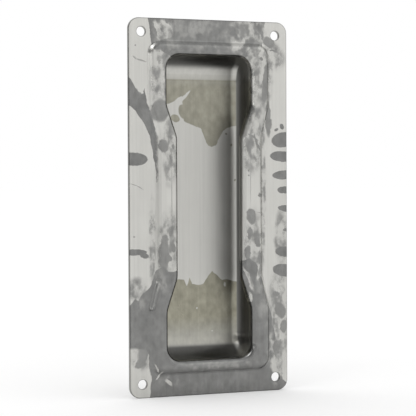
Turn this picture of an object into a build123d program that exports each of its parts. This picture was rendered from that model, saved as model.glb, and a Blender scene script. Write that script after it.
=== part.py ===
from build123d import *
import os
from math import radians, tan

os.makedirs("parts", exist_ok=True)

# Recessed pull handle pressed from steel sheet, for a cabinet or canopy door.
# The origin is the centre of the four screw holes, on the back of the flange,
# which lies against the door. X runs to the right, Z up and Y into the door.

# Opening, measured between the faces of the turned-in lip
open_wide = 52.8
open_waist = 40.0
open_height = 178.0
grip_length = 82.6
slant_length = 18.7
open_corner = 8.0
open_kink = 10.0

# Lip along the edge of the opening
plate_sheet = 2.0
lip_inner_radius = 1.5
lip_straight = 1.3

# Cup behind the panel, around the lip
cup_sheet = 1.2
cup_gap = 0.1
cup_depth = 20.0
cup_floor_radius = 16.0
cup_rim_radius = 0.5

# How far the cup's rim reaches past its walls: at the waist, beside the wide ends, above and below
rim_waist = 0.47
rim_side = 4.97
rim_end = 1.17

# Raised panel around the opening, with a sloping side
panel_rise = 2.0
side_slope = 42.0
side_foot_radius = 2.0
side_inner_radius = 1.5
panel_corner = 9.0
panel_kink = 10.0
panel_waist_extra = 0.7
panel_slant_less = 2.2

# Flange beyond the foot of the sloping side, at the sides and at the ends
flange_side = 11.0
flange_end = 12.2
plate_corner = 6.5
edge_roll = 0.4

# Screw holes, and how far in from the plate's edges they stand
hole_diameter = 5.5
hole_inset_x = 7.75
hole_inset_z = 8.0
hole_roll = 0.25

# Short flat ends that let each bent strip run into the flat sheet beside it
strip_tail = 0.6

# How closely two places must agree to count as the same
near = 0.001

# Levels along Y
flange_back = 0.0
flange_front = flange_back - plate_sheet
panel_back = flange_back - panel_rise
panel_front = panel_back - plate_sheet
lip_bend_radius = lip_inner_radius + plate_sheet
lip_start = panel_front + lip_bend_radius
lip_end = lip_start + lip_straight
cup_floor = flange_front + cup_depth

# The cup fits around the lip, and its mouth clears the back of the lip's bend
lip_to_cup = plate_sheet + cup_gap
cup_mouth_radius = max(lip_inner_radius + cup_gap, cup_rim_radius + cup_sheet)
cup_wall_height = cup_floor - panel_back - cup_mouth_radius
floor_radius = min(cup_floor_radius, cup_wall_height - cup_gap)

# Run of the sloping side, from its foot to the flat of the panel
half_turn = tan(radians(side_slope) / 2)
side_top_radius = side_inner_radius + plate_sheet
side_run = (side_foot_radius + side_top_radius) * half_turn + panel_rise / tan(radians(side_slope))

# The panel is as large as the cup's rim needs, and the plate, to a tenth, as the panel needs
cup_reach = lip_to_cup + cup_sheet + side_run
panel_wide = open_wide + 2 * (cup_reach + rim_side)
panel_waist = open_wide + 2 * (cup_reach + rim_waist)
panel_height = open_height + 2 * (cup_reach + rim_end)
plate_width = round(panel_wide + 2 * flange_side, 1)
plate_height = round(panel_height + 2 * flange_end, 1)

# Half heights at which the waist ends and the wide ends begin
open_waist_to = grip_length / 2
open_wide_from = open_waist_to + slant_length
panel_waist_to = open_waist_to + panel_waist_extra
panel_wide_from = panel_waist_to + slant_length - panel_slant_less


def hourglass(wide, waist, height, wide_from, waist_to, corner, kink):
    """Outline with a straight waist between two wide ends, drawn across and up the door."""
    right = [
        (wide / 2, height / 2),
        (wide / 2, wide_from),
        (waist / 2, waist_to),
        (waist / 2, -waist_to),
        (wide / 2, -wide_from),
        (wide / 2, -height / 2),
    ]
    left = [(-x, z) for x, z in reversed(right)]
    with BuildSketch() as outline:
        with BuildLine():
            Polyline(*right, *left, close=True)
        make_face()
        rows = outline.vertices().group_by(Axis.Y)
        fillet(rows[1] + rows[2] + rows[3] + rows[4], radius=kink)
        rows = outline.vertices().group_by(Axis.Y)
        fillet(rows[0] + rows[-1], radius=corner)
    return outline.sketch


def cup_block(sheet, back):
    """Round-edged block from the back of the panel down to the given level."""
    half_x = open_wide / 2 + lip_to_cup + sheet
    half_z = open_height / 2 + lip_to_cup + sheet
    bottom_radius = floor_radius + sheet
    with BuildPart() as block:
        with BuildSketch(Plane.XZ.offset(-panel_back)):
            Rectangle(2 * half_x, 2 * half_z)
        extrude(amount=panel_back - back)
        fillet(block.faces().sort_by(Axis.Y)[-1].edges(), radius=bottom_radius)
        seams = block.edges().filter_by(lambda e: abs((e @ 0).Y - (e @ 1).Y) > near)
        seams = seams.filter_by(lambda e: abs(e.center().X) > half_x - bottom_radius)
        seams = seams.filter_by(lambda e: abs(e.center().Z) > half_z - bottom_radius)
        fillet(seams, radius=open_corner + lip_to_cup + sheet)
    return block.part


def round_at(section, x, radius):
    """Round the corner of a section that stands at the given X."""
    fillet(section.vertices().filter_by(lambda v: abs(v.X - x) < near), radius=radius)


panel_foot = hourglass(panel_wide, panel_waist, panel_height, panel_wide_from, panel_waist_to, panel_corner, panel_kink)
opening = hourglass(open_wide, open_waist, open_height, open_wide_from, open_waist_to, open_corner, open_kink)
foot_path = (Plane.XZ * panel_foot).face().outer_wire()
lip_path = (Plane.XZ * opening).face().outer_wire()

# Face plate: flange, sloping side, raised panel and turned-in lip in one sheet
with BuildPart() as face_plate:
    with BuildSketch(Plane.XZ):
        RectangleRounded(plate_width, plate_height, plate_corner)
        with GridLocations(plate_width - 2 * hole_inset_x, plate_height - 2 * hole_inset_z, 2, 2):
            Circle(hole_diameter / 2, mode=Mode.SUBTRACT)
    extrude(amount=plate_sheet)
    front = face_plate.faces().sort_by(Axis.Y)[0]
    hole_rims = [edge for wire in front.inner_wires() for edge in wire.edges()]
    fillet(front.outer_wire().edges(), radius=edge_roll)
    fillet(hole_rims, radius=hole_roll)
    with BuildSketch(Plane.XZ):
        add(panel_foot)
        offset(amount=strip_tail / 2)
    extrude(amount=plate_sheet, mode=Mode.SUBTRACT)

    # Flat of the raised panel
    with BuildSketch(Plane.XZ.offset(-panel_back)):
        add(panel_foot)
        offset(amount=-side_run - strip_tail / 2)
        add(offset(opening, amount=lip_bend_radius + strip_tail / 2, mode=Mode.PRIVATE), mode=Mode.SUBTRACT)
    extrude(amount=plate_sheet)

    # Sloping side, one sheet thick, drawn at the middle of the waist
    with BuildSketch(Plane.XY) as side_section:
        foot_x = panel_waist / 2
        front_foot_x = foot_x - side_foot_radius * half_turn
        front_top_x = front_foot_x - panel_rise / tan(radians(side_slope))
        back_foot_x = front_foot_x - plate_sheet * half_turn
        back_top_x = front_top_x - plate_sheet * half_turn
        with BuildLine():
            Polyline(
                (foot_x + strip_tail, flange_front),
                (front_foot_x, flange_front),
                (front_top_x, panel_front),
                (foot_x - side_run - strip_tail, panel_front),
                (foot_x - side_run - strip_tail, panel_back),
                (back_top_x, panel_back),
                (back_foot_x, flange_back),
                (foot_x + strip_tail, flange_back),
                close=True,
            )
        make_face()
        round_at(side_section, front_foot_x, side_foot_radius)
        round_at(side_section, front_top_x, side_top_radius)
        round_at(side_section, back_foot_x, side_foot_radius + plate_sheet)
        round_at(side_section, back_top_x, side_inner_radius)
    sweep(path=foot_path)

    # Lip: the edge of the opening, turned in through a right angle
    with BuildSketch(Plane.XY):
        lip_x = open_waist / 2
        with BuildLine():
            front_bend = JernArc((lip_x, lip_start), (0, -1), lip_bend_radius, 90)
            back_bend = JernArc((lip_x + plate_sheet, lip_start), (0, -1), lip_inner_radius, 90)
            Polyline(
                front_bend @ 1,
                (lip_x + lip_bend_radius + strip_tail, panel_front),
                (lip_x + lip_bend_radius + strip_tail, panel_back),
                back_bend @ 1,
            )
            Polyline(
                back_bend @ 0,
                (lip_x + plate_sheet, lip_end),
                (lip_x, lip_end),
                front_bend @ 0,
            )
        make_face()
    sweep(path=lip_path)

face_plate.part.label = "face_plate"
export_step(face_plate.part, "parts/face_plate.step")

# Cup: a drawn box with a narrow rim that lies in the hollow behind the panel
with BuildPart() as handle_cup:
    add(cup_block(cup_sheet, cup_floor + cup_sheet))
    with BuildSketch(Plane.XZ.offset(-panel_back)):
        Rectangle(panel_wide, panel_height)
    extrude(amount=-cup_sheet)
    add(cup_block(0, cup_floor), mode=Mode.SUBTRACT)
    rim_faces = handle_cup.faces().filter_by(Axis.Y).filter_by(lambda f: f.inner_wires()).sort_by(Axis.Y)
    fillet(rim_faces[0].inner_wires()[0].edges(), radius=cup_mouth_radius)
    rim_faces = handle_cup.faces().filter_by(Axis.Y).filter_by(lambda f: f.inner_wires()).sort_by(Axis.Y)
    fillet(rim_faces[-1].inner_wires()[0].edges(), radius=cup_mouth_radius - cup_sheet)

    # The rim is trimmed to the flat of the hollow
    with BuildSketch(Plane.XZ.offset(-panel_back)):
        add(panel_foot)
        offset(amount=-side_run - cup_gap)
    extrude(amount=-cup_depth - cup_sheet, mode=Mode.INTERSECT)

handle_cup.part.label = "handle_cup"
export_step(handle_cup.part, "parts/handle_cup.step")
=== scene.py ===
"""Recessed pull handle in mill-finish steel sheet: a face plate with a raised panel, and a cup behind it.

X runs to the right, Z up and Y into the door, in metres. The origin is the centre of the four
screw holes, on the back of the flange.
"""

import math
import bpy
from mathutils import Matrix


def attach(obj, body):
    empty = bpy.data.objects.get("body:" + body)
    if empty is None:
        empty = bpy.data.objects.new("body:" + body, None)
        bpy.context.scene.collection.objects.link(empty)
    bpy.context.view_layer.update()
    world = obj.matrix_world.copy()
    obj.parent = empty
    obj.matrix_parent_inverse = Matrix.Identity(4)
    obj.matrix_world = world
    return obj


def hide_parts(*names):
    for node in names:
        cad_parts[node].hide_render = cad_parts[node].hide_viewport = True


bl_info = {
    "name": "Recessed Pull Handle",
    "version": (1, 0, 0),
    "blender": (4, 5, 0),
    "location": "View3D > Sidebar > Pull Handle",
    "description": "Models a pressed sheet pull handle on its fitted frame",
    "category": "Add Mesh",
}

import bmesh
import bpy
from bpy.props import FloatProperty, FloatVectorProperty, PointerProperty
from mathutils import Matrix, Vector

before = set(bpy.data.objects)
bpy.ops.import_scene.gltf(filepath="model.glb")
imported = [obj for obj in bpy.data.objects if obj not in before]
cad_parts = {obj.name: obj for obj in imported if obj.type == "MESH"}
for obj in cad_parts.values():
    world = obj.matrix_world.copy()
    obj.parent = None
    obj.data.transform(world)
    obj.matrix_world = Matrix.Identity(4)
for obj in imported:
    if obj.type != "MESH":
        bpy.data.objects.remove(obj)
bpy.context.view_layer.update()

MM = 0.001
QUARTER_TURN = math.pi / 2

# How closely two places agree when they count as the same
TINY = 0.00002

# Slope towards the front below which a face counts as one that looks sideways
SIDEWAYS = 0.05

# How many short runs make up each rounded shape
CORNER_STEPS = 16
KINK_STEPS = 10
FOOT_STEPS = 7
TOP_STEPS = 9
LIP_STEPS = 14
FLARE_STEPS = 6
FLOOR_STEPS = 28
HOLE_STEPS = 64
EDGE_ROLL_STEPS = 4
HOLE_ROLL_STEPS = 3
LIP_EDGE_STEPS = 2
DOME_SEGMENTS = 64

# Edges that turn less than this are smooth. Larger faces lead the shading where they meet others.
SMOOTH_ANGLE = math.radians(32)
LARGE_WEIGHT = 100
LIKENESS = 0.001

# How far the cup's rim is made beyond its mouth before it is trimmed, and how far in front of it the
# cutter starts and how much longer it is than the floor's depth
RIM_SPARE = 8 * MM
CUTTER_START = 2 * MM
CUTTER_SPARE = 10 * MM

# Brightness of the studio around the steel. Each card is a line over the azimuth, in degrees to
# the right of straight ahead, times a line over the elevation, in degrees up.
SURROUND_RADIUS = 3.0
WALLS = (
    (
        (-180, 1), (-150, 0.7), (-132, 0.1), (-98, 0.1), (-78, 0.13), (-62, 0.13), (-36, 0.22),
        (-20, 0.22), (-10, 0.32), (0, 0.6), (10, 0.9), (20, 1), (60, 0.92), (106, 0.71), (150, 0.85),
        (180, 1),
    ),
    (
        (-90, 0.9), (-45, 1.05), (-20, 1), (-8, 0.92), (-5.6, 0.88), (-2, 0.94), (0.3, 0.98), (5.6, 1.06),
        (11, 1.1), (16, 1.25), (24, 1.25), (35, 1.2), (46, 1), (58, 0.4), (70, 0), (90, 0),
    ),
)
SIDE_CARD = (
    (
        (-180, 0), (-84, 0), (-74, 0.38), (-50, 0.48), (-34, 0.75), (-22, 1), (-10, 0.9), (0, 0.25),
        (5, 0), (180, 0),
    ),
    (
        (-90, 1.5), (-7, 1.3), (-5, 1), (-3.4, 0), (1.3, 0), (2.5, 1.35), (4, 1.35), (5.5, 1),
        (12, 0.35), (17, 0.1), (40, 0), (90, 0),
    ),
)
SPOT_CARD = (
    ((-180, 0), (-68, 0), (-60, 1), (-42, 1), (-36, 0), (180, 0)),
    ((-90, 0), (7, 0), (8.2, 4), (10.4, 4), (11.6, 0), (90, 0)),
)
KEY_CARD = (
    ((-180, 0), (-72, 0), (-62, 1), (-42, 1), (-34, 0), (180, 0)),
    ((-90, 0), (34, 0), (44, 3), (64, 3), (74, 0), (90, 0)),
)
CEILING = (
    ((-180, 1), (0, 0.999), (180, 1)),
    ((-90, 0), (33, 0), (55, 0.3), (70, 0.9), (90, 1)),
)
CARDS = (WALLS, SIDE_CARD, SPOT_CARD, KEY_CARD, CEILING)

# Colour of the studio's floor, the light that it adds where it is looked at or mirrored, and its size
FLOOR_WHITE = 0.93
FLOOR_LIFT = 0.075
FLOOR_SIZE = 30

# Width of the camera's sensor in millimetres, and the nearest and farthest that it sees in metres
SENSOR = 36
NEAREST, FARTHEST = 0.01, 100

# Marks on the steel, in millimetres. An oval is its middle across and up, its length, its width and
# its turn in degrees. A border runs through points across and up, only the corner's edge through
# points up and across. FILM_SHARE is a share at each height.
FINGER_MARKS = (
    (-47, 28.4, 17, 7.6, -2), (-46.8, -25.4, 15, 3.6, 0), (-41, -27.2, 6, 3.4, -20), (47.5, 40, 15, 9, 8),
    (47, 30, 16, 6.4, -4), (48, 19, 15, 5.4, 3), (48.5, 10, 9.5, 4.2, 0), (49, -1.2, 10, 3.8, -8),
    (49.6, -14, 4.5, 2, 0), (48.5, -27, 12.5, 6.4, -6), (48, -38.2, 15, 7.6, -8),
    (46.8, 47.9, 2.6, 3.6, 20), (43.2, 46, 3, 1.6, 30),
)
PLATE_STAINS = (
    (-34.3, 104.2, 11.5, 2, -69), (-44.9, 66.5, 9, 3, -38), (-31.2, 56.5, 12, 13.5, -15),
    (-29.4, 36, 6.5, 7.5, 20), (-41.6, -84.6, 11, 5.5, 78), (-43.6, -89.4, 8, 4.6, 40),
    (-29.5, -27, 24, 6.5, 88), (-46, 94, 1.2, 0.8, 0), (33.5, 104.2, 10.5, 2.4, -78),
    (38.6, 97.8, 8.5, 6, -28), (29.4, 96.6, 5.5, 3.6, -10), (41.4, 92.9, 6, 1.2, -12),
    (35.4, 73.5, 26, 4.6, 83), (37.6, 53, 22, 4.2, -87), (28.6, 79.1, 3.4, 2.2, 40),
    (32.3, 87.7, 3.2, 1.6, -10), (26, -5.6, 6.2, 9.4, 10), (24.5, 21.4, 1, 1.4, 0), (24.5, 19, 1, 1, 0),
    (29.5, 38.6, 11, 1.4, -70), (27.4, 41.5, 8, 1.2, -35), (31.5, 7.1, 2.6, 2.6, 0),
    (-25.3, 42, 2.4, 1.2, 50), (-23.4, 35.5, 1.6, 3.2, 0), (-24.8, 28.6, 1.6, 4, 10),
    (-22.4, 47, 1.2, 2.4, 0), (-28.6, -18, 4.4, 5, 30), (-24, -22.4, 3.4, 6.8, 10),
    (-30.4, -24, 2.6, 5.6, -20), (-27.2, -28.6, 7, 3.4, -30), (24.8, -15.6, 3.2, 8, 0),
    (29.6, -20.4, 4.6, 7.2, 20), (23.4, -26.8, 4, 9, 0), (31.2, -30.5, 3, 8, 0), (-31, -31, 3.4, 6, 10),
    (45.4, -62, 7, 10, 20), (42.6, -52, 3.4, 5, 60), (47.6, -72, 4.4, 9, 0), (43.2, -83.4, 5.4, 8.4, -20),
)
PLATE_LINES = (
    (-46.3, 86.8, 3, 0.9, -40), (-42.4, 85.3, 6.4, 0.9, -14), (-47, 13.6, 4.4, 0.5, -16),
    (-43.4, 12, 4.4, 0.5, -31), (-47.1, -16.5, 1.2, 1, 0), (-36.7, -24.2, 1.2, 1, 0),
    (-35.5, -30, 1.2, 0.8, 0), (-37.9, -28.6, 1, 0.8, 0), (-24.5, 0, 56, 0.45, 90), (32.5, 14, 58, 0.7, 90),
    (25.4, 22, 44, 0.4, 90), (-29.8, 83.6, 0.9, 0.8, 0), (-28.9, 87.9, 0.9, 0.8, 0),
    (32, -3.5, 5.5, 0.5, -10), (28.8, -40, 11, 0.5, 80), (33.2, -38.5, 14, 0.6, -76),
    (30.4, -46.4, 6, 0.5, -40), (-3, 99.2, 40, 0.5, -1), (20.6, 100.4, 13, 0.4, 2),
)
PLATE_CLEAN = (
    (24.2, -42.5, 15, 2.2, -66), (25.4, -53.5, 5, 1.6, -80), (32.1, -38, 6, 1.8, 80),
    (-32.2, 103.4, 11.5, 3.6, -72), (-26.5, 106, 7.6, 2.2, -44), (-27.6, 100.6, 7, 4, 10),
    (-37, 93.5, 4.6, 1.4, -75), (-30.4, 87, 10.5, 5.8, -40), (29.2, 84.5, 12, 3.4, -72),
    (43.4, -95.6, 8.4, 12.6, 8), (47.6, -78, 3, 38, -3), (-26.4, -101.8, 5.2, 2.2, -35),
    (-32.4, -97, 6, 1, 55), (-34, -92.6, 5, 0.9, -60), (-26, -33.8, 6.5, 2, -58),
    (-29.6, 42, 7.6, 3.6, -60), (30.8, -38.6, 10, 2.6, 80), (-33.3, 81.2, 1.4, 1.4, 0),
    (-31.7, 67.1, 1.2, 1.2, 0),
)
PLATE_SMEARS = (
    (-30.5, 78, 40, 13, 88), (-28, 100.5, 14, 10, 0), (30.5, 72, 50, 13, 84), (28, 36, 30, 13, 80),
    (28, -28, 46, 13, 90), (44.6, -62, 46, 13, 90), (-45, -47, 13, 13, 30), (-43, -86, 12, 14, 0),
    (20, 104.5, 30, 10, 0), (40, 90, 18, 14, -40), (37, 78, 36, 8, 85), (-26.5, -20, 36, 13, 85),
    (-25, 34, 40, 10, 88), (-41.5, 56, 26, 5, -60), (44.5, -86, 30, 12, 90), (-36, -20, 50, 4, 90),
    (34, 10, 90, 4, 90), (46, -18, 30, 8, 90), (28, 92, 16, 12, 30),
)
PLATE_CLOUDS = ((25, 103, 28, 18, 0), (25, 94, 26, 14, -10), (44, -84, 44, 14, 90), (-28.5, 103, 12, 12, 0))
PLATE_HAZE = (
    (-12, 104, 56, 12, 0), (-28, 94, 18, 12, 0), (-45, -53, 16, 12, 0), (-26, -101, 12, 8, 0),
    (36, -50, 40, 14, 90), (-32, -42, 18, 8, -70), (0, -93, 70, 4, 0), (10, 92, 50, 8, 0),
)
TOP_STAIN = (
    (-52, 120), (-38.5, 118), (-36.6, 99), (-36, 95), (-34.6, 91.6), (-31, 90.6), (-22, 87), (20, 86),
    (25, 86.4), (28, 88.5), (31, 90.5), (33.5, 94.5), (35, 99.6), (35.6, 104), (36.2, 118), (52, 120),
)
LOW_STAIN = (
    (-52, -57), (-49.5, -55.6), (-47, -52), (-44.8, -53.5), (-42, -49), (-38.7, -47.3), (-36.2, -43.5),
    (-34, -36), (-30, -33.5), (-27, -36.5), (-23, -37), (20, -32), (24, -30), (29, -33), (33, -43),
    (36, -56), (39.4, -64), (42, -78), (44.5, -84), (47, -104), (50, -106), (52, -106),
)
CLEAN_CORNER = (-50, -101, 44, 40, 0)
CORNER_EDGE = (
    (-120, -37.6), (-110, -37.8), (-99.6, -37), (-91, -38.4), (-80, -38.2), (-79.4, -60), (-70, -60),
)
WEDGE_TOP = (
    (-52, 77), (-49.1, 74.9), (-45.4, 68.7), (-42.6, 65.4), (-41.4, 66), (-40.6, 69.5), (-40, 66),
    (-38.6, 61), (-35.5, 51), (-33, 42),
)
WEDGE_FOOT = (
    (-52, 60.5), (-48.9, 59), (-46.8, 57.2), (-43.4, 52.6), (-39.8, 46.9), (-37.4, 42), (-36, 34.3),
    (-34.4, 27.1), (-33, 15),
)
UPPER_POOL = (
    (-30, 60), (-18, 61.5), (-14.5, 63), (-12, 65.4), (-9.6, 66.4), (-8.8, 55), (-8.2, 51.2), (-5.8, 50.3),
    (-0.3, 47.9), (2.4, 47.3), (4.2, 43.5), (6, 38.7), (7.3, 36.9), (9.5, 36), (12.1, 36.9), (13.7, 40.2),
    (15.8, 43.6), (17.1, 45.7), (19.7, 47.5), (23.6, 48.7), (30, 49),
)
LOWER_POOL = (
    (-30, -50), (-17.4, -48.6), (-15.6, -44), (-12.4, -42.9), (-8.6, -43.6), (-6.7, -47.3), (-4.9, -42.2),
    (-3.5, -46.2), (0.4, -46.9), (3.6, -46.4), (6.9, -41.7), (9.5, -38.7), (13.4, -41.9), (16, -44.4),
    (19.3, -43.8), (23.2, -45.2), (30, -46),
)
FILM_SHARE = (
    (-100, 0.5), (-84, 0.55), (-76, 0.65), (-71, 0.9), (-66, 1.12), (-40, 1.12), (30, 1), (72, 1),
    (75.6, 0.85), (75.9, 1.1), (76.3, 0.40), (78.9, 0.30), (79.2, 0.55), (79.6, 0.15), (84, 0.1),
    (100, 0.1),
)
CUP_STAINS = (
    (-9, 57, 5, 8.6, 12), (-13.8, 52.9, 6, 4.4, -20), (20.1, 54.1, 1, 1, 0), (18.9, 43.9, 1.4, 1.2, 0),
    (22.3, 37.2, 1, 1.6, 0), (24.4, 16.1, 0.9, 1.4, 0), (12.6, 38.4, 2.6, 1.2, 60),
)
CUP_CLEAN = (
    (-7, 66.4, 8.6, 1.5, 48), (-10, 64.4, 9, 1.6, 40), (-14.2, 60.5, 7, 1.4, 35),
    (-0.3, -60.7, 0.8, 1.2, 0), (9.4, -75, 1, 0.8, 0), (17.8, -47, 1.2, 2.6, 10),
)

# How much of each mark is there. A smear has at least a share, and more where its blots are.
STAIN_SHARE = 0.85
LINE_SHARE = 0.6
CLEAN_SHARE = 0.85
CLOUD_SHARE = 0.8
HAZE_SHARE = 0.32
SMEAR_SHARE, BLOT_SHARE = 0.12, 0.75

# Edges of marks: how far they wander and over what length, in millimetres, and how soft they are
FINGER_EDGE = (0.5, 2.0, 0.06)
STAIN_EDGE = (1.3, 3.0, 0.18)
LINE_EDGE = (0.3, 4.0, 0.4)
CLEAN_EDGE = (2.0, 5.0, 0.3)

# The rest of the marks share one wander on each piece, and differ in how soft they are
PLATE_WANDER = (1.1, 4.0)
CUP_WANDER = (0.5, 2.4)
WANDER_DETAIL = 3.0
WIDE_SOFT = 0.5
BORDER_SOFT = 0.4
CORNER_SOFT = 0.06
WEDGE_SOFT = 0.3
CLOUD_SOFT = 0.3
SMEAR_SOFT = 0.35
POOL_SOFT = 0.25
CUP_STAIN_SOFT = 0.10
CUP_CLEAN_SOFT = 0.15

# Limits of masks in millimetres: nothing at the first, all of it at the second
WEDGE_RIGHT = (-32, -34)
# Painted shade on the turned-in part of the lip: its depth, and how far across and along it reaches
LIP_DEPTH = (-2.0, -0.9)
LIP_ACROSS = (31, 30)
LIP_ALONG = (94, 93)
# Painted shade on the cup's walls: where it starts at the sides, at the top end and at the foot end
DARK_SIDE = (24.8, 25.6)
DARK_TOP = (81.6, 85.6)
DARK_FOOT = (-81.4, -84.0)

# Where the grey of the cut edges is full and where it ends, in millimetres in from the plate's
# outline and out from its holes
RIM_BAND = (0.25, 0.6)
HOLE_BAND = (0.15, 0.5)

# Share of the walls' painted shade that the outside of the cup has
DARK_OUTSIDE = 0.4

# Patterns: the size of their lumps across, through and up, in millimetres, and their detail
GRAIN = ((0.12, 0.12, 9.0), 3.0)
CLOUDS = ((9, 9, 14), 3.0)
STREAKS = ((1.2, 1.2, 90), 4.0)
MOTTLE = ((3.4, 3.4, 5.0), 6.0)
WAVES = ((14, 14, 22), 1.0)
FILM_CLOUDS = ((5, 5, 7), 6.0)
BLOTS = ((4.5, 4.5, 7), 7.0)

# Heights of a pattern between which its blots begin and are full
FILM_CLOUDS_FROM = (0.42, 0.64)
BLOTS_FROM = (0.38, 0.64)

# How much the patterns vary the steel's tone, its roughness and its relief
GRAIN_TONE = 0.10
CLOUDS_TONE = 0.12
STREAKS_TONE = 0.22
MOTTLE_TONE = 0.7
FILM_EDGE_TONE = 0.45
CLOUDS_ROUGHNESS = 0.06
GRAIN_RELIEF = {"Distance": 0.05 * MM, "Strength": 0.12}
WAVES_RELIEF = {"Distance": 0.12 * MM, "Strength": 1.0}

# Distance that stands for no oval yet, in half sizes, and the scale that makes it count for nothing
NO_OVAL = 10.0
HIDING_SCALE = 5000


def mm(value, name, description):
    """A length property whose default is given in millimetres."""
    return FloatProperty(name=name, description=description, default=value * MM, unit="LENGTH", precision=5)


def degrees(value, name, description):
    """An angle property whose default is given in degrees."""
    return FloatProperty(name=name, description=description, default=math.radians(value), subtype="ANGLE")


def share(value, name, description):
    """A property between 0 and 1."""
    return FloatProperty(name=name, description=description, default=value, min=0, max=1, subtype="FACTOR")


def colour(value, name, description):
    """A colour property."""
    return FloatVectorProperty(name=name, description=description, default=value, subtype="COLOR")


class PlateSizes(bpy.types.PropertyGroup):
    """Sizes of the face plate."""

    width: mm(100, "Width", "Plate from side to side")
    height: mm(220, "Height", "Plate from end to end")
    sheet: mm(2, "Sheet", "Thickness of the plate's sheet")
    corner: mm(6.5, "Corner", "Radius of the plate's corners")
    edge_roll: mm(0.4, "Edge roll", "Rounding of the plate's front edge")
    hole: mm(5.5, "Hole", "Diameter of the screw holes")
    hole_roll: mm(0.25, "Hole roll", "Rounding of the holes' front edge")
    hole_x: mm(42.25, "Hole X", "Screw holes from the middle, across")
    hole_z: mm(102, "Hole Z", "Screw holes from the middle, along")
    panel_wide: mm(78, "Panel ends", "Raised panel across its wide ends")
    panel_waist: mm(69, "Panel waist", "Raised panel across its waist")
    panel_height: mm(195.6, "Panel height", "Raised panel from end to end")
    panel_wide_from: mm(58.5, "Panel wide from", "Height where the panel reaches its full width")
    panel_waist_to: mm(42, "Panel waist to", "Height where the panel's waist ends")
    panel_corner: mm(9, "Panel corner", "Radius of the panel's corners")
    panel_rise: mm(2, "Panel rise", "How far the panel stands above the flange")
    side_foot: mm(2, "Foot bend", "Radius at the foot of the sloping side")
    side_top: mm(3.5, "Top bend", "Radius at the top of the sloping side")
    side_slope: degrees(42, "Side slope", "Angle of the sloping side to the flange")
    open_wide: mm(52.8, "Opening ends", "Opening across its wide ends")
    open_waist: mm(40, "Opening waist", "Opening across its waist")
    open_height: mm(178, "Opening height", "Opening from end to end")
    open_wide_from: mm(60, "Opening wide from", "Height where the opening reaches its full width")
    open_waist_to: mm(41.3, "Opening waist to", "Height where the opening's waist ends")
    open_corner: mm(8, "Opening corner", "Radius of the opening's corners")
    kink: mm(10, "Kink", "Radius where a waist meets its slants")
    lip_bend: mm(3.5, "Lip bend", "Outer radius of the turned-in lip")
    lip_wall: mm(1.3, "Lip wall", "Straight length of the lip past its bend")
    lip_edge: mm(0.12, "Lip edge", "Rounding of the lip's cut edge")


class CupSizes(bpy.types.PropertyGroup):
    """Sizes of the cup behind the panel."""

    sheet: mm(1.2, "Sheet", "Thickness of the cup's sheet")
    half_x: mm(28.5, "Half width", "Inside of the cup from the middle, across")
    half_z: mm(91.1, "Half height", "Inside of the cup from the middle, along")
    floor: mm(18, "Floor", "Depth of the cup's floor behind the flange's back")
    corner: mm(10.1, "Corner", "Radius of the cup's corners")
    side_bend: mm(7, "Side bend", "Radius between the side walls and the floor")
    end_bend: mm(16, "End bend", "Radius between the end walls and the floor")
    floor_corner: mm(1, "Floor corner", "Radius of the floor's corners")
    mouth: mm(1.7, "Mouth", "Radius of the flared mouth")
    rim_less: mm(4.432, "Rim less", "How far the rim stays inside the panel's foot")


class SteelFinish(bpy.types.PropertyGroup):
    """Colours and roughness of the steel and of the oil on it, and how bright its cut edges and painted shade
    stay.
    """

    plate: colour((0.585, 0.580, 0.550), "Plate steel", "Colour of the face plate")
    cup: colour((0.58, 0.575, 0.545), "Cup steel", "Colour of the cup")
    plate_film: colour((0.218, 0.218, 0.212), "Plate film", "Colour of dried oil on the plate")
    cup_film: colour((0.315, 0.305, 0.252), "Cup film", "Colour of dried oil in the cup")
    roughness: share(0.29, "Roughness", "Roughness of the dry steel")
    cup_roughness: share(0.34, "Cup roughness", "Roughness of the cup's steel")
    film_smooths: share(0.05, "Film smooths", "Roughness that the dried oil takes away")
    grain_spread: share(0.75, "Grain spread", "How much the grain spreads reflections across it")
    # How bright the cut edges stay, and the turned-in lip under its painted shade
    edge_and_lip_shade_tone: share(0.45, "Edge tone", "How bright the cut edges stay")
    # How bright the cup's walls stay under their painted shade
    wall_shade_tone: share(0.26, "Wall tone", "How bright the drawn walls stay")


class StudioSetup(bpy.types.PropertyGroup):
    """Camera and lights."""

    camera_place: FloatVectorProperty(
        name="Camera", description="Place of the camera", subtype="TRANSLATION",
        default=(-0.33227, -0.81882, 0.01733),
    )
    camera_yaw: degrees(22.07, "Yaw", "Camera turned to the right")
    camera_pitch: degrees(1.145, "Pitch", "Camera tipped down")
    camera_roll: degrees(-0.243, "Roll", "Camera rolled to the left")
    lens: FloatProperty(name="Lens", description="Focal length in millimetres", default=129.9)
    floor_level: mm(-110, "Floor level", "Height of the floor under the plate")
    lamp_azimuth: degrees(-52, "Lamp azimuth", "To the right of straight ahead")
    lamp_elevation: degrees(55, "Lamp elevation", "Up from level")
    lamp_distance: mm(1600, "Lamp distance", "Distance of the lamp from the handle")
    lamp_size: mm(220, "Lamp size", "Diameter of the lamp")
    lamp_glow: FloatProperty(name="Lamp glow", description="Brightness, where 1 is white", default=5)


# Modelling helpers


def nothing_selected():
    """Leave edit mode and deselect everything."""
    if bpy.context.mode != "OBJECT":
        bpy.ops.object.mode_set(mode="OBJECT")
    bpy.ops.object.select_all(action="DESELECT")
    bpy.context.view_layer.objects.active = None


def select_only(piece):
    """Select one piece and make it the active one."""
    nothing_selected()
    piece.select_set(True)
    bpy.context.view_layer.objects.active = piece


def select_all():
    """Select all of the open piece."""
    bpy.ops.mesh.select_all(action="SELECT")


def edit(piece):
    """Open one piece in edit mode with nothing selected."""
    select_only(piece)
    bpy.ops.object.mode_set(mode="EDIT")
    bpy.ops.mesh.select_mode(type="FACE")
    bpy.ops.mesh.select_all(action="DESELECT")


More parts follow.
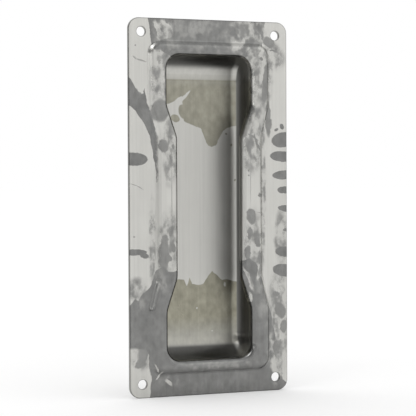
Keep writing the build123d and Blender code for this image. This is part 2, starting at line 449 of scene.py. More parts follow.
def pick(piece, kind, test):
    """Select the vertices or edges of the open piece that pass a test."""
    bpy.ops.mesh.select_mode(type={"verts": "VERT", "edges": "EDGE"}[kind])
    bpy.ops.mesh.select_all(action="DESELECT")
    shape = bmesh.from_edit_mesh(piece.data)
    found = [element for element in getattr(shape, kind) if test(element)]
    for element in found:
        element.select_set(True)
    shape.select_flush_mode()
    bmesh.update_edit_mesh(piece.data)
    if not found:
        raise RuntimeError(f"nothing to select on {piece.name}")


def at_height(height):
    """Test for the vertices at one height above or below the middle."""
    return lambda vertex: abs(abs(vertex.co.z) - height) < TINY


def at_level(edge, level):
    """Whether an edge lies at one level of Y."""
    return all(abs(vertex.co.y - level) < TINY for vertex in edge.verts)


def cut_edge(edge):
    """Whether two faces meet sharply at an edge."""
    return edge.calc_face_angle(0) > SMOOTH_ANGLE


def open_edge(edge):
    """Whether an edge has a face on one side only, or none."""
    return len(edge.link_faces) < 2


def joined(pieces, name):
    """Join pieces into the first one and give it a name."""
    nothing_selected()
    for piece in pieces:
        piece.select_set(True)
    bpy.context.view_layer.objects.active = pieces[0]
    bpy.ops.object.join()
    pieces[0].name = name
    pieces[0].data.name = name
    return pieces[0]


def apply_modifier(piece, kind, **settings):
    """Add a modifier with its settings and apply it."""
    select_only(piece)
    modifier = piece.modifiers.new(kind.title(), kind)
    for name, value in settings.items():
        setattr(modifier, name, value)
    bpy.ops.object.modifier_apply(modifier=modifier.name)


def mark_front(piece):
    """Mark the faces that look to the front or into the opening. The oil lies on that side alone, and the
    cup's painted shade is full there.
    """
    marks = piece.data.attributes.new("front", "FLOAT", "FACE")
    for face, mark in zip(piece.data.polygons, marks.data):
        inwards = face.normal.x * face.center.x + face.normal.z * face.center.z < 0
        mark.value = float(face.normal.y < -SIDEWAYS or (inwards and face.normal.y < SIDEWAYS))


def shade(piece):
    """Smooth the bends, keep the cut edges sharp and let the flats stay flat."""
    select_only(piece)
    bpy.ops.object.shade_smooth_by_angle(angle=SMOOTH_ANGLE)
    apply_modifier(piece, "WEIGHTED_NORMAL", keep_sharp=True, weight=LARGE_WEIGHT, thresh=LIKENESS)
    mark_front(piece)


def flat_face(name, level, wide, high):
    """One flat face around the middle, opened in edit mode."""
    nothing_selected()
    bpy.ops.mesh.primitive_plane_add(size=1, location=(0, level, 0), rotation=(QUARTER_TURN, 0, 0))
    piece = bpy.context.object
    piece.name = name
    piece.scale = (wide, high, 1)
    bpy.ops.object.transform_apply()
    edit(piece)
    return piece


def outline(name, level, wide, waist, height, wide_from, waist_to, corner, wide_cut, waist_cut):
    """One flat face with a straight waist between two wide ends, its corners rounded.

    The corners are cut back by a radius, and the kinks by a length along their edges.
    """
    piece = flat_face(name, level, wide, height)
    for z in (-wide_from, -waist_to, waist_to, wide_from):
        select_all()
        bpy.ops.mesh.bisect(plane_co=(0, 0, z), plane_no=(0, 0, 1))
    select_all()
    bpy.ops.mesh.dissolve_faces()
    pick(piece, "verts", at_height(waist_to))
    bpy.ops.transform.resize(value=(waist / wide, 1, 1))
    cuts = (
        (waist_to, waist_cut, KINK_STEPS),
        (wide_from, wide_cut, KINK_STEPS),
        (height / 2, corner, CORNER_STEPS),
    )
    for turned_at, cut, steps in cuts:
        pick(piece, "verts", at_height(turned_at))
        bpy.ops.mesh.bevel(affect="VERTICES", offset_type="ABSOLUTE", offset=cut, segments=steps)
    bpy.ops.mesh.select_mode(type="FACE")
    select_all()
    return piece


def half_kink(wide, waist, wide_from, waist_to):
    """Tangent of half the turn between a waist and the slant that follows it."""
    return math.tan(math.atan2((wide - waist) / 2, wide_from - waist_to) / 2)


def waisted(name, level, plate, part, grow=0.0):
    """Outline of the plate's "panel" or its "open" part as one flat face, grown by a length all round."""
    kinds = ("wide", "waist", "height", "wide_from", "waist_to", "corner")
    wide, waist, height, wide_from, waist_to, corner = [getattr(plate, f"{part}_{kind}") for kind in kinds]
    half = half_kink(wide, waist, wide_from, waist_to)
    return outline(
        name, level, wide + 2 * grow, waist + 2 * grow, height + 2 * grow,
        wide_from - grow * half, waist_to - grow * half, corner + grow,
        (plate.kink + grow) * half, (plate.kink - grow) * half,
    )


def step_in(run, rise):
    """Step the selected face inwards by a run and out of its plane by a rise."""
    bpy.ops.mesh.inset(
        thickness=run, depth=rise, use_boundary=True, use_even_offset=True, use_relative_offset=False
    )


def bend_steps(radius, start, end, count):
    """Runs and rises of a bend of a radius, from one slope to another."""
    angles = [start + (end - start) * i / count for i in range(count + 1)]
    for a, b in zip(angles, angles[1:]):
        run = radius * abs(math.sin(b) - math.sin(a))
        rise = radius * abs(math.cos(a) - math.cos(b))
        yield run, rise


def fill_between(piece, level, bridge):
    """Fill the open loops at one level of Y with a flat sheet."""
    pick(piece, "edges", lambda e: open_edge(e) and at_level(e, level))
    if bridge:
        bpy.ops.mesh.bridge_edge_loops()
    else:
        bpy.ops.mesh.fill(use_beauty=True)


def thicken(piece, sheet):
    """Turn the open piece's faces to the front and give it the thickness of its sheet behind them."""
    select_all()
    bpy.ops.mesh.normals_make_consistent(inside=False)
    shape = bmesh.from_edit_mesh(piece.data)
    facing = sum(face.normal.y * face.calc_area() for face in shape.faces)
    if facing > 0:
        bpy.ops.mesh.flip_normals()
    apply_modifier(
        piece, "SOLIDIFY", thickness=sheet, offset=-1, use_even_offset=True, use_quality_normals=True
    )


# Face plate


def plate_rim(plate):
    """Outline of the plate, with points on its straight sides to meet the panel's."""
    cut = plate.kink * half_kink(
        plate.panel_wide, plate.panel_waist, plate.panel_wide_from, plate.panel_waist_to
    )
    piece = outline(
        "plate_rim", -plate.sheet, plate.width, plate.width, plate.height,
        plate.panel_wide_from, plate.panel_waist_to, plate.corner, cut, cut,
    )
    bpy.ops.mesh.delete(type="ONLY_FACE")
    return piece


def screw_hole(plate, side, end):
    """Rim of one screw hole in the flange's front."""
    nothing_selected()
    bpy.ops.mesh.primitive_circle_add(
        vertices=HOLE_STEPS, radius=plate.hole / 2, fill_type="NOTHING",
        location=(side * plate.hole_x, -plate.sheet, end * plate.hole_z), rotation=(QUARTER_TURN, 0, 0),
    )
    bpy.ops.object.transform_apply()
    return bpy.context.object


def raised_side(plate):
    """Sloping side of the panel, stepped in from its foot on the flange."""
    piece = waisted("raised_side", -plate.sheet, plate, "panel")
    slope = plate.side_slope
    bends_rise = (plate.side_foot + plate.side_top) * (1 - math.cos(slope))
    straight_rise = plate.panel_rise - bends_rise
    for run, rise in bend_steps(plate.side_foot, 0, slope, FOOT_STEPS):
        step_in(run, rise)
    step_in(straight_rise / math.tan(slope), straight_rise)
    for run, rise in bend_steps(plate.side_top, slope, 0, TOP_STEPS):
        step_in(run, rise)
    bpy.ops.mesh.delete(type="ONLY_FACE")
    return piece


def turned_lip(plate):
    """Lip around the opening, stepped in from the panel's front and down its wall."""
    piece = waisted("turned_lip", -plate.panel_rise - plate.sheet, plate, "open", plate.lip_bend)
    for run, fall in bend_steps(plate.lip_bend, 0, QUARTER_TURN, LIP_STEPS):
        step_in(run, -fall)
    step_in(0, -plate.lip_wall)
    bpy.ops.mesh.delete(type="ONLY_FACE")
    return piece


def build_face_plate(plate):
    """Face plate in one sheet: flange with its holes, sloping side, raised panel and lip."""
    holes = [screw_hole(plate, side, end) for side in (-1, 1) for end in (-1, 1)]
    piece = joined([raised_side(plate), plate_rim(plate), *holes, turned_lip(plate)], "plate_sheet")
    flange_front = -plate.sheet
    panel_front = flange_front - plate.panel_rise
    lip_end = panel_front + plate.lip_bend + plate.lip_wall
    edit(piece)
    fill_between(piece, panel_front, bridge=True)
    fill_between(piece, flange_front, bridge=False)
    thicken(piece, plate.sheet)
    edit(piece)
    inner_x, inner_z = plate.panel_wide / 2 + TINY, plate.panel_height / 2 + TINY

    def on_hole(vertex):
        gap = Vector((abs(vertex.co.x) - plate.hole_x, abs(vertex.co.z) - plate.hole_z)).length
        return abs(gap - plate.hole / 2) < TINY

    def on_rim(vertex):
        return not on_hole(vertex) and (abs(vertex.co.x) > inner_x or abs(vertex.co.z) > inner_z)

    def anywhere(vertex):
        return True

    rolled_edges = (
        (flange_front, on_rim, plate.edge_roll, EDGE_ROLL_STEPS),
        (flange_front, on_hole, plate.hole_roll, HOLE_ROLL_STEPS),
        (lip_end, anywhere, plate.lip_edge, LIP_EDGE_STEPS),
    )
    for level, along, roll, steps in rolled_edges:
        pick(piece, "edges", lambda e: cut_edge(e) and at_level(e, level) and all(map(along, e.verts)))
        bpy.ops.mesh.bevel(offset=roll, segments=steps, loop_slide=False)
    shade(piece)
    return piece


# Cup


def cup_row(cup, insets, level, corners):
    """One rounded rectangle of the cup's inside, set in from its walls at the sides and at the ends.

    Its corners may be longer along Z than across X: it is rounded wide and then drawn together.
    """
    stretch = corners[1] / corners[0]
    half_x, half_z = cup.half_x - insets[0], cup.half_z - insets[1]
    piece = flat_face("cup_row", level, 2 * half_x * stretch, 2 * half_z)
    bpy.ops.mesh.select_mode(type="VERT")
    select_all()
    bpy.ops.mesh.bevel(affect="VERTICES", offset_type="ABSOLUTE", offset=corners[1], segments=CORNER_STEPS)
    select_all()
    bpy.ops.transform.resize(value=(1 / stretch, 1, 1))
    return piece


def bend_reach(bend, rise):
    """How far a bend has run out from the floor at a rise above it."""
    rise = min(rise, bend)
    return math.sqrt(bend ** 2 - (bend - rise) ** 2)


def cup_rows(cup, rim):
    """Insets, levels and corners of the cup's rows, from its flared mouth to its floor."""
    for i in range(FLARE_STEPS + 1):
        turn = QUARTER_TURN * i / FLARE_STEPS
        out = cup.mouth * (1 - math.sin(turn))
        yield (-out, -out), rim + cup.mouth * (1 - math.cos(turn)), (cup.corner + out,) * 2
    for i in range(FLOOR_STEPS + 1):
        rise = cup.end_bend * (1 - math.sin(QUARTER_TURN * i / FLOOR_STEPS))
        side, end = bend_reach(cup.side_bend, rise), bend_reach(cup.end_bend, rise)
        settled = (rise / cup.end_bend) ** 2
        corners = [max(reach + (cup.corner - reach) * settled, cup.floor_corner) for reach in (side, end)]
        yield (cup.side_bend - side, cup.end_bend - end), cup.floor - rise, corners


def cup_skin(cup, rim):
    """Front skin of the cup: its rows joined one to the next, its floor and its flat rim."""
    rows = list(cup_rows(cup, rim))
    pieces = []
    for row in rows:
        pieces.append(cup_row(cup, *row))
        if row is not rows[-1]:
            bpy.ops.mesh.delete(type="ONLY_FACE")
    piece = joined(pieces, "cup_sheet")
    edit(piece)
    for upper, lower in zip(rows, rows[1:]):
        pick(piece, "edges", lambda e: open_edge(e) and (at_level(e, upper[1]) or at_level(e, lower[1])))
        bpy.ops.mesh.bridge_edge_loops()
    beyond = cup.mouth + RIM_SPARE
    border = cup_row(cup, (-beyond, -beyond), rim, (cup.corner + beyond,) * 2)
    bpy.ops.mesh.delete(type="ONLY_FACE")
    piece = joined([piece, border], "cup_sheet")
    edit(piece)
    fill_between(piece, rim, bridge=True)
    return piece


def rim_cutter(cup, plate):
    """Solid with the outline that the cup's rim is trimmed to."""
    piece = waisted("rim_cutter", -plate.panel_rise - CUTTER_START, plate, "panel", -cup.rim_less)
    bpy.ops.mesh.extrude_region_move(TRANSFORM_OT_translate={"value": (0, cup.floor + CUTTER_SPARE, 0)})
    select_all()
    bpy.ops.mesh.normals_make_consistent(inside=False)
    nothing_selected()
    return piece


def build_handle_cup(cup, plate):
    """Cup in one sheet: floor, walls, flared mouth and the rim welded behind the panel."""
    piece = cup_skin(cup, -plate.panel_rise)
    thicken(piece, cup.sheet)
    cutter = rim_cutter(cup, plate)
    apply_modifier(piece, "BOOLEAN", operation="INTERSECT", object=cutter, solver="EXACT")
    bpy.data.objects.remove(cutter)
    shade(piece)
    return piece


# Finish


def empty_tree(owner):
    """The cleared node tree of a material or a world."""
    owner.use_nodes = True
    owner.node_tree.nodes.clear()
    return owner.node_tree


def node(tree, kind, inputs=None, **settings):
    """Add a shader node with its settings, and its inputs as values or links."""
    made = tree.nodes.new(kind)
    for name, value in settings.items():
        setattr(made, name, value)
    for socket, value in (inputs or {}).items():
        if isinstance(value, bpy.types.NodeSocket):
            tree.links.new(value, made.inputs[socket])
        else:
            made.inputs[socket].default_value = value
    return made


def result(tree, kind, inputs, **settings):
    """The first output of a shader node that is added."""
    return node(tree, kind, inputs, **settings).outputs[0]


def calculated(tree, operation, *values):
    """The result of a Math node."""
    return result(tree, "ShaderNodeMath", dict(enumerate(values)), operation=operation)


def scaled(tree, vector, factor):
    """A vector times a number."""
    return result(tree, "ShaderNodeVectorMath", {0: vector, "Scale": factor}, operation="SCALE")


def distance(tree, across, up):
    """How far it is over a part across and a part up."""
    way = result(tree, "ShaderNodeCombineXYZ", {0: across, 2: up})
    return node(tree, "ShaderNodeVectorMath", {0: way}, operation="LENGTH").outputs["Value"]


def across_and_up(tree, place):
    """X and Z of places."""
    parts = node(tree, "ShaderNodeSeparateXYZ", {0: place}).outputs
    return parts["X"], parts["Z"]


def on_front(tree):
    """1 on the faces that are marked as front, and 0 on the rest."""
    return node(tree, "ShaderNodeAttribute", attribute_name="front").outputs["Fac"]


def by_curve(tree, value, points):
    """A number read from a line drawn straight from point to point, each a place and a height."""
    low, high = points[0][0], points[-1][0]
    heights = [height for at, height in points]
    bottom, top = min(heights), max(heights)
    shares = [((at - low) / (high - low), (height - bottom) / (top - bottom)) for at, height in points]
    part = result(tree, "ShaderNodeMapRange", {"Value": value, "From Min": low, "From Max": high})
    made = node(tree, "ShaderNodeFloatCurve", {"Value": part})
    curve = made.mapping.curves[0]
    for place in shares[1:-1]:
        curve.points.new(*place)
    for point, place in zip(curve.points, shares):
        point.location = place
        point.handle_type = "VECTOR"
    made.mapping.update()
    inputs = {"Value": made.outputs[0], "To Min": bottom, "To Max": top}
    return result(tree, "ShaderNodeMapRange", inputs)


def noise(tree, place, size, detail):
    """Noise between 0 and 1 with lumps of a size across, through and up, in millimetres."""
    scale = [1 / (length * MM) for length in size]
    stretched = result(tree, "ShaderNodeMapping", {"Vector": place, "Scale": scale})
    return node(tree, "ShaderNodeTexNoise", {"Vector": stretched, "Scale": 1.0, "Detail": detail}).outputs


def pattern(tree, place, kind):
    """One of the steel's patterns, between 0 and 1."""
    return noise(tree, place, *kind)["Fac"]


def varied(tree, value, amount):
    """A factor around 1 that a value between 0 and 1 varies by an amount in all."""
    return calculated(tree, "MULTIPLY_ADD", value, amount, 1 - amount / 2)


def smooth_step(tree, value, start, end):
    """0 before the start, 1 after the end, and smooth between them."""
    inputs = {"Value": value, "From Min": start, "From Max": end}
    return result(tree, "ShaderNodeMapRange", inputs, interpolation_type="SMOOTHSTEP")


def past(tree, value, limits):
    """0 before the first of two limits in millimetres, and 1 after the second."""
    return smooth_step(tree, value, limits[0] * MM, limits[1] * MM)


def ragged(tree, place, reach, length):
    """Places pushed about by noise, so that what is drawn on them gets an uneven edge."""
    push = noise(tree, place, (length,) * 3, WANDER_DETAIL)["Color"]
    centred = result(tree, "ShaderNodeVectorMath", {0: push, 1: (0.5,) * 3}, operation="SUBTRACT")
    inputs = {0: centred, 1: (2 * reach * MM,) * 3, 2: place}
    return result(tree, "ShaderNodeVectorMath", inputs, operation="MULTIPLY_ADD")


def in_ovals(tree, place, ovals, soft):
    """Mask of the ovals drawn on a piece's front.

    Each oval's place carries the distance found so far in Y, which the long scale along Y makes
    count for nothing. That keeps the nodes in a row, so the shader holds few values at a time.
    """
    x, z = across_and_up(tree, place)
    nearest = NO_OVAL
    for middle_x, middle_z, length, width, turn in ovals:
        carried = result(tree, "ShaderNodeCombineXYZ", {0: x, 1: nearest, 2: z})
        inputs = {
            "Vector": carried,
            "Location": (middle_x * MM, 0, middle_z * MM),
            "Rotation": (0, -math.radians(turn), 0),
            "Scale": (length * MM / 2, HIDING_SCALE, width * MM / 2),
        }
        centred = result(tree, "ShaderNodeMapping", inputs, vector_type="TEXTURE")
        far = node(tree, "ShaderNodeVectorMath", {0: centred}, operation="LENGTH").outputs["Value"]
        nearest = calculated(tree, "MINIMUM", nearest, far)
    return smooth_step(tree, nearest, 1 + soft, 1 - soft)


def in_ragged_ovals(tree, place, ovals, edge):
    """Mask of ovals with an uneven edge of their own."""
    reach, length, soft = edge
    return in_ovals(tree, ragged(tree, place, reach, length), ovals, soft)


def past_border(tree, along, across, points, side, soft):
    """Mask of what lies past a drawn border: above it where side is 1, and below it where side is -1."""
    border = by_curve(tree, calculated(tree, "DIVIDE", along, MM), points)
    gap = calculated(tree, "SUBTRACT", calculated(tree, "DIVIDE", across, MM), border)
    return smooth_step(tree, calculated(tree, "MULTIPLY", gap, side), -soft, soft)


def either(tree, *masks):
    """What is in any of the masks."""
    found = masks[0]
    for mask in masks[1:]:
        found = calculated(tree, "MAXIMUM", found, mask)
    return found


def both(tree, *masks):
    """What is in all of the masks."""
    found = masks[0]
    for mask in masks[1:]:
        found = calculated(tree, "MULTIPLY", found, mask)
    return found


def outside(tree, mask):
    """What a mask leaves out."""
    return calculated(tree, "SUBTRACT", 1.0, mask)


def plate_stain(tree, place):
    """Mask of the dried oil on the face plate."""
    uneven = ragged(tree, place, *PLATE_WANDER)
    x, z = across_and_up(tree, uneven)
    top = past_border(tree, x, z, TOP_STAIN, 1, WIDE_SOFT)
    low = past_border(tree, x, z, LOW_STAIN, -1, WIDE_SOFT)
    corner = both(
        tree, past_border(tree, z, x, CORNER_EDGE, -1, BORDER_SOFT),
        in_ovals(tree, uneven, (CLEAN_CORNER,), CORNER_SOFT),
    )
    wedge = both(
        tree, past_border(tree, x, z, WEDGE_TOP, -1, WEDGE_SOFT),
        past_border(tree, x, z, WEDGE_FOOT, 1, WEDGE_SOFT), past(tree, x, WEDGE_RIGHT),
    )
    wide = either(tree, top, both(tree, low, outside(tree, corner)), wedge)
    clean = in_ragged_ovals(tree, place, PLATE_CLEAN, CLEAN_EDGE)
    clouds = smooth_step(tree, pattern(tree, place, FILM_CLOUDS), *FILM_CLOUDS_FROM)
    strong = both(tree, in_ovals(tree, uneven, PLATE_CLOUDS, CLOUD_SOFT), CLOUD_SHARE)
    weak = both(tree, in_ovals(tree, uneven, PLATE_HAZE, CLOUD_SOFT), HAZE_SHARE)
    clouds = both(tree, clouds, either(tree, strong, weak))
    wide = both(tree, wide, outside(tree, both(tree, clean, CLEAN_SHARE)), outside(tree, clouds))
    ovals = in_ragged_ovals(tree, place, PLATE_STAINS, STAIN_EDGE)
    fingers = in_ragged_ovals(tree, place, FINGER_MARKS, FINGER_EDGE)
    lines = in_ragged_ovals(tree, place, PLATE_LINES, LINE_EDGE)
    blots = smooth_step(tree, pattern(tree, place, BLOTS), *BLOTS_FROM)
    smears = in_ovals(tree, uneven, PLATE_SMEARS, SMEAR_SOFT)
    smears = both(tree, smears, calculated(tree, "MULTIPLY_ADD", blots, BLOT_SHARE, SMEAR_SHARE))
    return either(tree, wide, both(tree, ovals, STAIN_SHARE), fingers, smears, both(tree, lines, LINE_SHARE))


def cut_edges_and_lip_shade(tree, place):
    """Mask of the plate's cut edges, which are a duller grey, and of painted shade on the turned-in part of
    its lip.
    """
    x, y, z = node(tree, "ShaderNodeSeparateXYZ", {0: place}).outputs
    sizes = bpy.context.scene.pull_plate
    across, along = calculated(tree, "ABSOLUTE", x), calculated(tree, "ABSOLUTE", z)
    gaps = [
        calculated(tree, "MAXIMUM", calculated(tree, "SUBTRACT", way, half - sizes.corner), 0.0)
        for way, half in ((across, sizes.width / 2), (along, sizes.height / 2))
    ]
    full, end = [sizes.corner - inset * MM for inset in RIM_BAND]
    rim = smooth_step(tree, distance(tree, *gaps), end, full)
    gaps = [calculated(tree, "SUBTRACT", *pair) for pair in ((across, sizes.hole_x), (along, sizes.hole_z))]
    full, end = [sizes.hole / 2 + gap * MM for gap in HOLE_BAND]
    holes = smooth_step(tree, distance(tree, *gaps), end, full)
    # The turned-in part of the lip is darkened as painted shade
    lip = both(tree, past(tree, y, LIP_DEPTH), past(tree, across, LIP_ACROSS), past(tree, along, LIP_ALONG))
    return either(tree, rim, holes, lip)


def cup_stain(tree, place):
    """Mask of the dried oil on the cup's floor."""
    uneven = ragged(tree, place, *CUP_WANDER)
    x, z = across_and_up(tree, uneven)
    upper = past_border(tree, x, z, UPPER_POOL, 1, POOL_SOFT)
    lower = past_border(tree, x, z, LOWER_POOL, -1, POOL_SOFT)
    height = calculated(tree, "DIVIDE", across_and_up(tree, place)[1], MM)
    ovals = in_ovals(tree, uneven, CUP_STAINS, CUP_STAIN_SOFT)
    clean = in_ovals(tree, uneven, CUP_CLEAN, CUP_CLEAN_SOFT)
    film = both(tree, either(tree, upper, lower, ovals), outside(tree, clean))
    share_by_height = by_curve(tree, height, FILM_SHARE)
    return both(tree, film, share_by_height, outside(tree, painted_wall_shade(tree, place)))


def painted_wall_shade(tree, place):
    """Mask of painted shade on the cup's walls and end bends, full on the inside and less on the outside."""
    x, z = across_and_up(tree, place)
    side = past(tree, calculated(tree, "ABSOLUTE", x), DARK_SIDE)
    ends = either(tree, past(tree, z, DARK_TOP), past(tree, z, DARK_FOOT))
    amount = calculated(tree, "MULTIPLY_ADD", on_front(tree), 1 - DARK_OUTSIDE, DARK_OUTSIDE)
    return both(tree, either(tree, side, ends), amount)


def steel_material(name, clean, stained, roughness, smooths, spread, stain_mask, edge_and_shade_mask, edge_and_shade_tone):
    """Mill-finish steel sheet with dried oil on it, and with darker places.

    The oil's colour is mixed in by one mask, and smooths the steel a little. The grain spreads
    reflections across it. The other mask darkens the steel down to a tone.
    """
    material = bpy.data.materials.new(name)
    tree = empty_tree(material)
    place = node(tree, "ShaderNodeTexCoord").outputs["Object"]
    front = on_front(tree)
    stain = both(tree, stain_mask(tree, place), front)

    # Fine lines along the rolling direction, faint clouds and long streaks
    grain = pattern(tree, place, GRAIN)
    clouds = pattern(tree, place, CLOUDS)
    tone = both(tree, varied(tree, grain, GRAIN_TONE), varied(tree, clouds, CLOUDS_TONE))
    tone = both(tree, tone, varied(tree, pattern(tree, place, STREAKS), STREAKS_TONE))

    # The oil is mottled, and darkest along its edges
    mottle = pattern(tree, place, MOTTLE)
    edge = calculated(tree, "MULTIPLY", both(tree, stain, outside(tree, stain)), FILM_EDGE_TONE)
    film_tone = calculated(tree, "SUBTRACT", both(tree, varied(tree, mottle, MOTTLE_TONE), tone), edge)
    colours = {"Factor": stain, "A": scaled(tree, clean, tone), "B": scaled(tree, stained, film_tone)}
    mixed = node(tree, "ShaderNodeMix", colours, data_type="VECTOR", clamp_factor=False).outputs["Result"]
    # Painted shade on the lip and in the cup, and the duller cut edges, darken the colour
    dark = calculated(tree, "MULTIPLY_ADD", edge_and_shade_mask(tree, place), edge_and_shade_tone - 1, 1.0)
    mixed = scaled(tree, mixed, dark)

    rough = calculated(tree, "MULTIPLY_ADD", stain, -smooths, roughness)
    rough = calculated(tree, "SUBTRACT", rough, CLOUDS_ROUGHNESS / 2)
    rough = calculated(tree, "MULTIPLY_ADD", clouds, CLOUDS_ROUGHNESS, rough)
    waves = pattern(tree, place, WAVES)
    rolled = result(tree, "ShaderNodeBump", {"Height": grain, **GRAIN_RELIEF})
    waved = result(tree, "ShaderNodeBump", {"Height": waves, "Normal": rolled, **WAVES_RELIEF})
    steel = {
        "Base Color": mixed, "Metallic": 1.0, "Roughness": rough, "Normal": waved, "Anisotropic": spread,
    }
    shader = result(tree, "ShaderNodeBsdfPrincipled", steel)
    node(tree, "ShaderNodeOutputMaterial", {"Surface": shader})
    return material


def dress(piece, material):
    """Give a piece its one material."""
    piece.data.materials.clear()
    piece.data.materials.append(material)


class PULL_OT_face_plate(bpy.types.Operator):
    """Model the face plate and its steel"""

    bl_idname = "pull_handle.face_plate"
    bl_label = "Face Plate"

    def execute(self, context):
        scene = context.scene
        piece = build_face_plate(scene.pull_plate)
        finish = scene.pull_finish
        steel = steel_material(
            "plate_steel", clean=finish.plate, stained=finish.plate_film, roughness=finish.roughness,
            smooths=finish.film_smooths, spread=finish.grain_spread / 2,
            # Cut edges are duller, and the turned-in lip gets painted shade
            stain_mask=plate_stain, edge_and_shade_mask=cut_edges_and_lip_shade, edge_and_shade_tone=finish.edge_and_lip_shade_tone,
        )
        dress(piece, steel)
        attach(piece, "root")
        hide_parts("face_plate")
        return {"FINISHED"}


class PULL_OT_handle_cup(bpy.types.Operator):
    """Model the cup and its steel"""

    bl_idname = "pull_handle.handle_cup"
    bl_label = "Handle Cup"

    def execute(self, context):
        scene = context.scene
        piece = build_handle_cup(scene.pull_cup, scene.pull_plate)
        finish = scene.pull_finish
        steel = steel_material(
            "cup_steel", clean=finish.cup, stained=finish.cup_film, roughness=finish.cup_roughness,
            smooths=finish.film_smooths, spread=finish.grain_spread,
            # The cup's walls get painted shade, down to their tone
            stain_mask=cup_stain, edge_and_shade_mask=painted_wall_shade, edge_and_shade_tone=finish.wall_shade_tone,
        )
        dress(piece, steel)
        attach(piece, "root")
        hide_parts("handle_cup")
        return {"FINISHED"}


# Stage


def build_lamp(studio):
    """Lamp high on the left, aimed at the handle."""
    light = bpy.data.lights.new("lamp", "AREA")
    light.shape = "DISK"
    light.size = studio.lamp_size
    face_area = math.pi * studio.lamp_size ** 2 / 4
    light.energy = studio.lamp_glow * math.pi * face_area
    made = bpy.data.objects.new("lamp", light)
    bpy.context.scene.collection.objects.link(made)
    turn, lift = studio.lamp_azimuth, studio.lamp_elevation
    flat = studio.lamp_distance * math.cos(lift)
    made.location = (flat * math.sin(turn), -flat * math.cos(turn), studio.lamp_distance * math.sin(lift))
    made.rotation_euler = (-made.location).to_track_quat("-Z", "Y").to_euler()
    made.visible_camera = False


def build_surround(radius):
    """Dome of studio cards that only the steel sees.

    A pale wall goes all round and is darker to the left. Before it hang a card at the left, a small
    one for a spot in the cup, one high up, and a ceiling.
    """
    nothing_selected()
    bpy.ops.mesh.primitive_uv_sphere_add(segments=DOME_SEGMENTS, ring_count=DOME_SEGMENTS // 2, radius=radius)
    dome = bpy.context.object
    dome.name = "surround"
    material = bpy.data.materials.new("surround_cards")
    material.cycles.emission_sampling = "NONE"
    tree = empty_tree(material)
    place = node(tree, "ShaderNodeTexCoord").outputs["Object"]
    x, y, z = node(tree, "ShaderNodeSeparateXYZ", {0: place}).outputs
    turn = calculated(tree, "ARCTAN2", x, calculated(tree, "MULTIPLY", y, -1.0))
    azimuth = calculated(tree, "DEGREES", turn)
    lift = calculated(tree, "ARCSINE", calculated(tree, "DIVIDE", z, radius))
    elevation = calculated(tree, "DEGREES", lift)
    strength = 0.0
    for across, up in CARDS:
        across, up = by_curve(tree, azimuth, across), by_curve(tree, elevation, up)
        strength = calculated(tree, "MULTIPLY_ADD", across, up, strength)
    glow = result(tree, "ShaderNodeEmission", {"Color": (1, 1, 1, 1), "Strength": strength})
    node(tree, "ShaderNodeOutputMaterial", {"Surface": glow})
    dress(dome, material)
    dome.visible_camera = False
    dome.visible_shadow = False
    dome.visible_diffuse = False


def build_floor(level):
    """Wide pale floor under the plate."""
    nothing_selected()
    bpy.ops.mesh.primitive_plane_add(size=FLOOR_SIZE, location=(0, 0, level))
    floor = bpy.context.object
    floor.name = "floor"
    material = bpy.data.materials.new("floor_white")
    tree = empty_tree(material)
    paint = result(tree, "ShaderNodeBsdfDiffuse", {"Color": (*[FLOOR_WHITE] * 3, 1)})
    rays = node(tree, "ShaderNodeLightPath").outputs
    seen = calculated(tree, "MAXIMUM", rays["Is Camera Ray"], rays["Is Glossy Ray"])
    seen = calculated(tree, "MAXIMUM", seen, rays["Is Transmission Ray"])
    lift = calculated(tree, "MULTIPLY", seen, FLOOR_LIFT)
    glow = result(tree, "ShaderNodeEmission", {"Color": (1, 1, 1, 1), "Strength": lift})
    surface = result(tree, "ShaderNodeAddShader", {0: paint, 1: glow})
    node(tree, "ShaderNodeOutputMaterial", {"Surface": surface})
    dress(floor, material)


def build_world():
    """White studio all round."""
    world = bpy.data.worlds.new("studio")
    bpy.context.scene.world = world
    world.cycles.sampling_method = "NONE"
    tree = empty_tree(world)
    glow = result(tree, "ShaderNodeBackground", {"Color": (1, 1, 1, 1), "Strength": 1.0})
    node(tree, "ShaderNodeOutputWorld", {"Surface": glow})


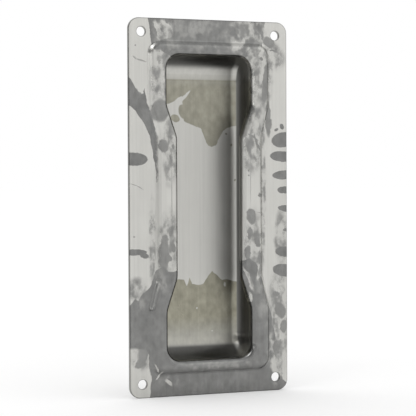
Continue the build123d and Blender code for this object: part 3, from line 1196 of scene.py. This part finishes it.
def build_camera(studio):
    """Camera at the photograph's place."""
    data = bpy.data.cameras.new("camera")
    data.lens = studio.lens
    data.sensor_width = SENSOR
    data.clip_start = NEAREST
    data.clip_end = FARTHEST
    camera = bpy.data.objects.new("camera", data)
    bpy.context.scene.collection.objects.link(camera)
    camera.matrix_world = (
        Matrix.Translation(studio.camera_place)
        @ Matrix.Rotation(-studio.camera_yaw, 4, "Z")
        @ Matrix.Rotation(QUARTER_TURN - studio.camera_pitch, 4, "X")
        @ Matrix.Rotation(studio.camera_roll, 4, "Z")
    )
    bpy.context.scene.camera = camera


class PULL_OT_stage(bpy.types.Operator):
    """Set up the floor, the lights and the camera"""

    bl_idname = "pull_handle.stage"
    bl_label = "Stage"

    def execute(self, context):
        studio = context.scene.pull_studio
        build_world()
        build_floor(studio.floor_level)
        build_camera(studio)
        build_lamp(studio)
        build_surround(SURROUND_RADIUS)
        context.scene.view_settings.view_transform = "Standard"
        return {"FINISHED"}


class PULL_PT_panel(bpy.types.Panel):
    """Steps that build the pull handle"""

    bl_label = "Pull Handle"
    bl_idname = "PULL_PT_panel"
    bl_space_type = "VIEW_3D"
    bl_region_type = "UI"
    bl_category = "Pull Handle"

    def draw(self, context):
        layout = self.layout
        for step in STEPS:
            layout.operator(step.bl_idname)
        for group in (context.scene.pull_plate, context.scene.pull_cup, context.scene.pull_finish):
            box = layout.box()
            for name in group.__annotations__:
                box.prop(group, name)


GROUPS = {
    "pull_plate": PlateSizes,
    "pull_cup": CupSizes,
    "pull_finish": SteelFinish,
    "pull_studio": StudioSetup,
}
STEPS = (PULL_OT_face_plate, PULL_OT_handle_cup, PULL_OT_stage)


def register():
    for name, group in GROUPS.items():
        bpy.utils.register_class(group)
        setattr(bpy.types.Scene, name, PointerProperty(type=group))
    for step in (*STEPS, PULL_PT_panel):
        bpy.utils.register_class(step)


def unregister():
    for step in (PULL_PT_panel, *reversed(STEPS)):
        bpy.utils.unregister_class(step)
    for name, group in GROUPS.items():
        delattr(bpy.types.Scene, name)
        bpy.utils.unregister_class(group)


def main():
    register()
    bpy.ops.pull_handle.face_plate()
    bpy.ops.pull_handle.handle_cup()
    bpy.ops.pull_handle.stage()


if __name__ == "__main__":
    main()
